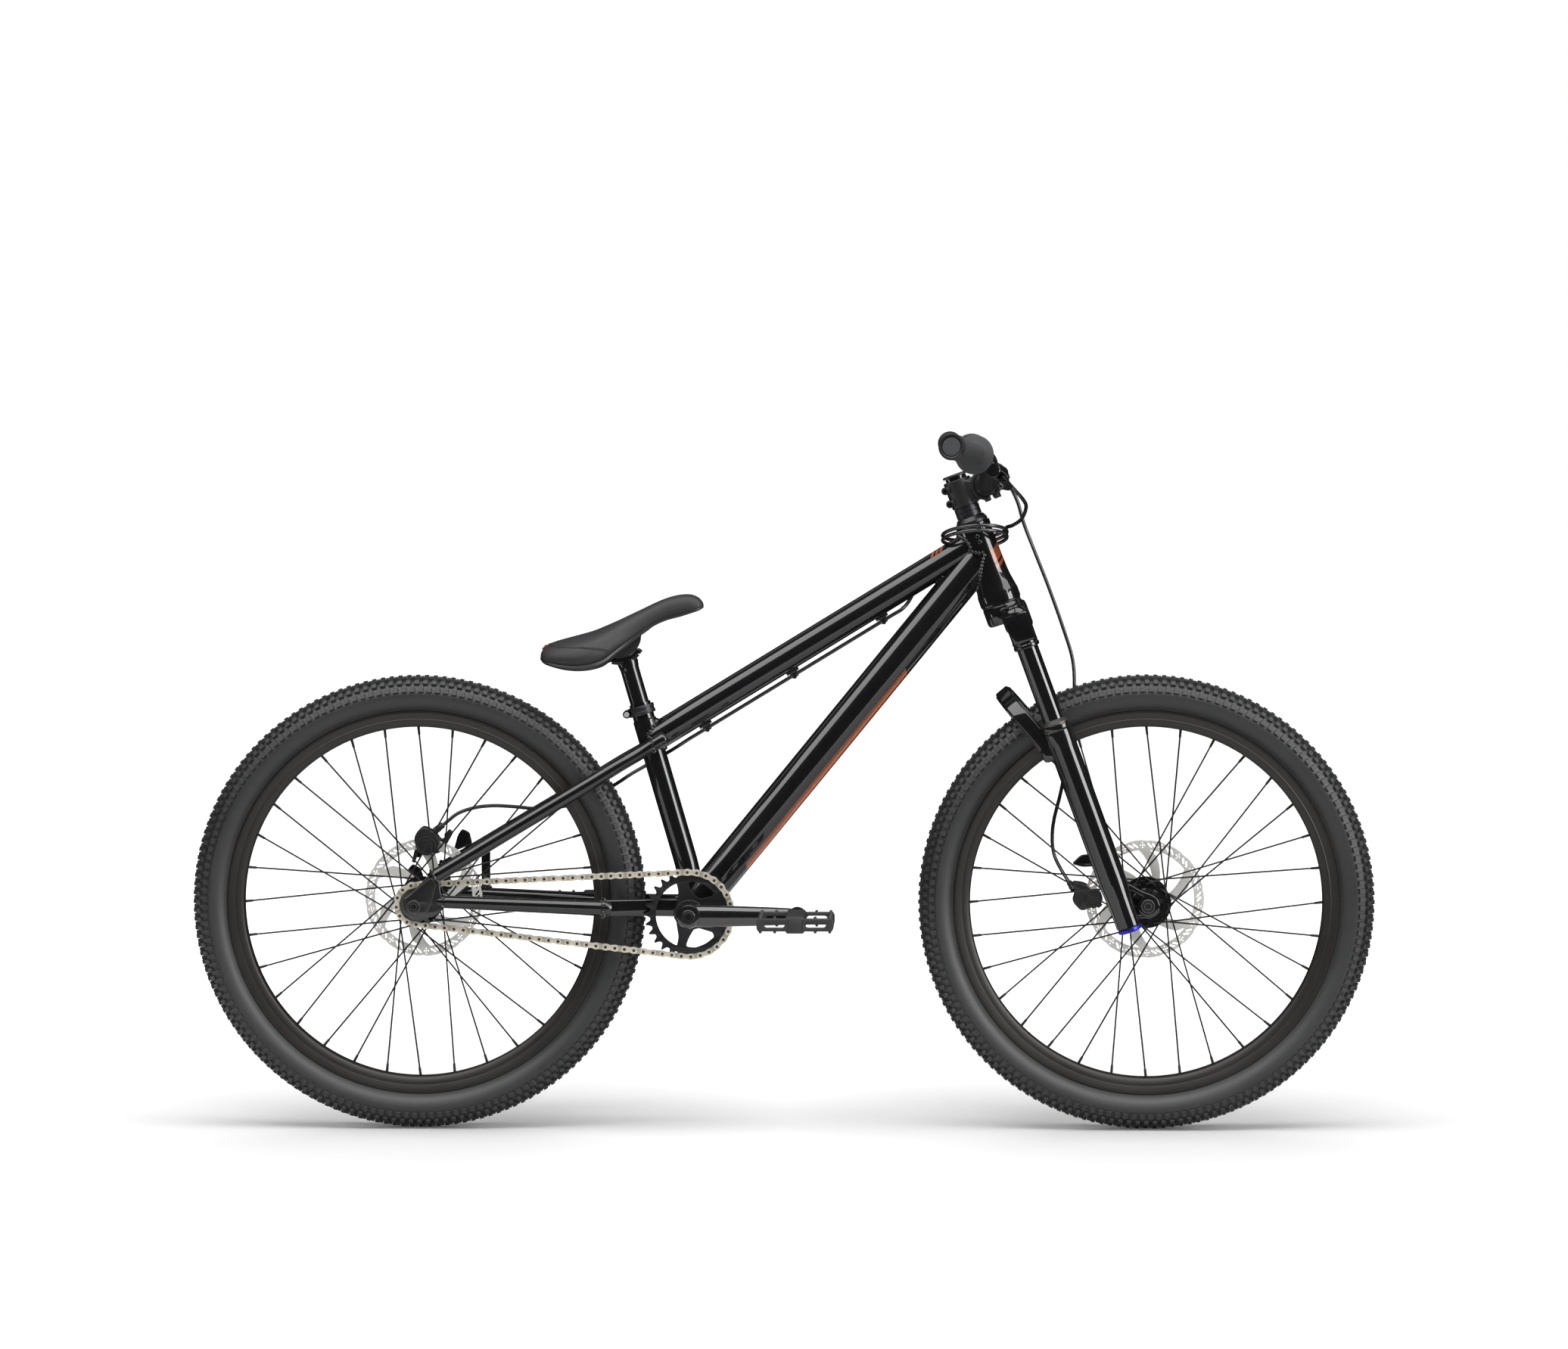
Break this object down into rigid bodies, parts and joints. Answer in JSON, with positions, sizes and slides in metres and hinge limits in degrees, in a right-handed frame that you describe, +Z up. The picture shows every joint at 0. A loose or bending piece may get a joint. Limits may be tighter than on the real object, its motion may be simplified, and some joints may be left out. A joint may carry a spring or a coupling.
{
  "type": "dirt jump bike",
  "caption": "Hardtail dirt jump bicycle with a low welded frame, telescopic fork, disc brakes and a single-speed chain; the rear brake hose loops round the head tube so that the bars can spin.",
  "frame": {"origin": "on the ground, midway between the two wheels", "axes": "+X forward, +Y to the rider's left, +Z up"},
  "size_m": [1.59, 0.7454, 0.936],
  "materials": {
    "frame_paint": "gloss black paint on aluminium tube",
    "fork_paint": "gloss black paint on cast alloy",
    "black_alloy": "satin black anodised",
    "black_steel": "black plated steel",
    "chain_steel": "plated chain steel",
    "disc_steel": "ground stainless steel",
    "spoke": "black coated steel",
    "stanchion": "polished black tube",
    "violet_alloy": "violet anodised",
    "calliper_black": "satin black",
    "rim": "brown black anodised",
    "tyre": "matt charcoal rubber",
    "grip_rubber": "matt dark grey rubber",
    "hose_rubber": "smooth black hose",
    "nylon": "satin black nylon",
    "saddle_cover": "matt charcoal cover over foam"
  },
  "bodies": {
    "frame": {"head_tube": "frame_paint", "top_tube": "frame_paint", "down_tube": "frame_paint", "seat_tube": "frame_paint", "bottom_bracket_shell": "frame_paint", "chainstay_left": "frame_paint", "chainstay_right": "frame_paint", "seatstay_left": "frame_paint", "seatstay_right": "frame_paint", "headset_lower": "black_alloy", "headset_upper": "black_alloy", "bb_cup_left": "black_alloy", "bb_cup_right": "black_alloy", "seat_collar": "black_alloy", "rear_axle": "black_steel", "chain": "chain_steel", "rear_calliper": "calliper_black", "rear_brake_hose": "hose_rubber"},
    "seat_post": {"seatpost": "black_alloy"},
    "saddle": {"saddle_base": "nylon", "saddle_cover": "saddle_cover"},
    "steering": {"fork_crown": "fork_paint", "stanchion_left": "stanchion", "stanchion_right": "stanchion", "stem": "black_alloy", "stem_faceplate": "black_alloy", "steerer_spacer": "black_alloy", "top_cap": "black_alloy", "handlebar": "black_alloy", "grip_left": "grip_rubber", "grip_right": "grip_rubber", "lever_clamp_left": "nylon", "lever_clamp_right": "nylon", "front_brake_hose": "hose_rubber"},
    "brake_lever_left": {"lever_blade_left": "black_alloy"},
    "brake_lever_right": {"lever_blade_right": "black_alloy"},
    "fork_legs": {"fork_lowers": "fork_paint", "front_axle": "black_steel", "rebound_knob": "violet_alloy", "front_calliper": "calliper_black"},
    "front_wheel": {"front_tyre": "tyre", "front_rim": "rim", "front_hub": "black_alloy", "front_spokes_left": "spoke", "front_spokes_right": "spoke", "front_brake_disc": "disc_steel"},
    "rear_wheel": {"rear_tyre": "tyre", "rear_rim": "rim", "rear_hub": "black_alloy", "rear_spokes_left": "spoke", "rear_spokes_right": "spoke", "rear_brake_disc": "disc_steel"},
    "sprocket": {"rear_sprocket": "black_steel"},
    "cranks": {"crank_left": "black_alloy", "crank_right": "black_alloy", "chainring": "black_alloy", "pedal_axle_left": "black_steel", "pedal_axle_right": "black_steel"},
    "pedal_platform_left": {"pedal_left": "nylon"},
    "pedal_platform_right": {"pedal_right": "nylon"}
  },
  "joints": [
    {"name": "steering_turn", "type": "hinge", "parent": "frame", "child": "steering", "pos_m": [0.44111, 0, 0.306], "axis": [-0.342, 0, 0.9397], "range_deg": [-180, 180], "deforming": ["rear_brake_hose", "front_brake_hose"]},
    {"name": "fork_travel", "type": "slide", "parent": "steering", "child": "fork_legs", "axis": [-0.342, 0, 0.9397], "range_m": [0, 0.08], "stiffness_N_per_m": 6000, "springref_m": -0.02, "deforming": ["front_brake_hose"]},
    {"name": "front_wheel_spin", "type": "hinge", "parent": "fork_legs", "child": "front_wheel", "pos_m": [0.489, 0, 0.306], "axis": [0, 1, 0], "continuous": true},
    {"name": "rear_wheel_spin", "type": "hinge", "parent": "frame", "child": "rear_wheel", "pos_m": [-0.489, 0, 0.306], "axis": [0, 1, 0], "continuous": true},
    {"name": "crank_spin", "type": "hinge", "parent": "frame", "child": "cranks", "pos_m": [-0.1226, 0, 0.293], "axis": [0, 1, 0], "continuous": true},
    {"name": "sprocket_spin", "type": "hinge", "parent": "frame", "child": "sprocket", "pos_m": [-0.489, 0, 0.306], "axis": [0, 1, 0], "continuous": true},
    {"name": "pedal_spin_left", "type": "hinge", "parent": "cranks", "child": "pedal_platform_left", "pos_m": [-0.2676, 0, 0.293], "axis": [0, 1, 0], "continuous": true},
    {"name": "pedal_spin_right", "type": "hinge", "parent": "cranks", "child": "pedal_platform_right", "pos_m": [0.0224, 0, 0.293], "axis": [0, 1, 0], "continuous": true},
    {"name": "brake_pull_left", "type": "hinge", "parent": "steering", "child": "brake_lever_left", "pos_m": [0.29518, 0.20077, 0.87725], "axis": [0.679, 0.0937, 0.7281], "range_deg": [0, 18], "stiffness_Nm_per_rad": 0.6, "springref_deg": -20.05},
    {"name": "brake_pull_right", "type": "hinge", "parent": "steering", "child": "brake_lever_right", "pos_m": [0.29518, -0.20077, 0.87725], "axis": [-0.679, 0.0937, -0.7281], "range_deg": [0, 18], "stiffness_Nm_per_rad": 0.6, "springref_deg": -20.05},
    {"name": "seatpost_height", "type": "slide", "parent": "frame", "child": "seat_post", "axis": [-0.2773, 0, 0.9608], "range_m": [-0.025, 0.06]},
    {"name": "saddle_tilt", "type": "hinge", "parent": "seat_post", "child": "saddle", "pos_m": [-0.219, 0, 0.664], "axis": [0, 1, 0], "range_deg": [-12, 12]}
  ],
  "couplings": [
    {"joint": "sprocket_spin", "follows": "crank_spin", "ratio": 2.1538}
  ]
}
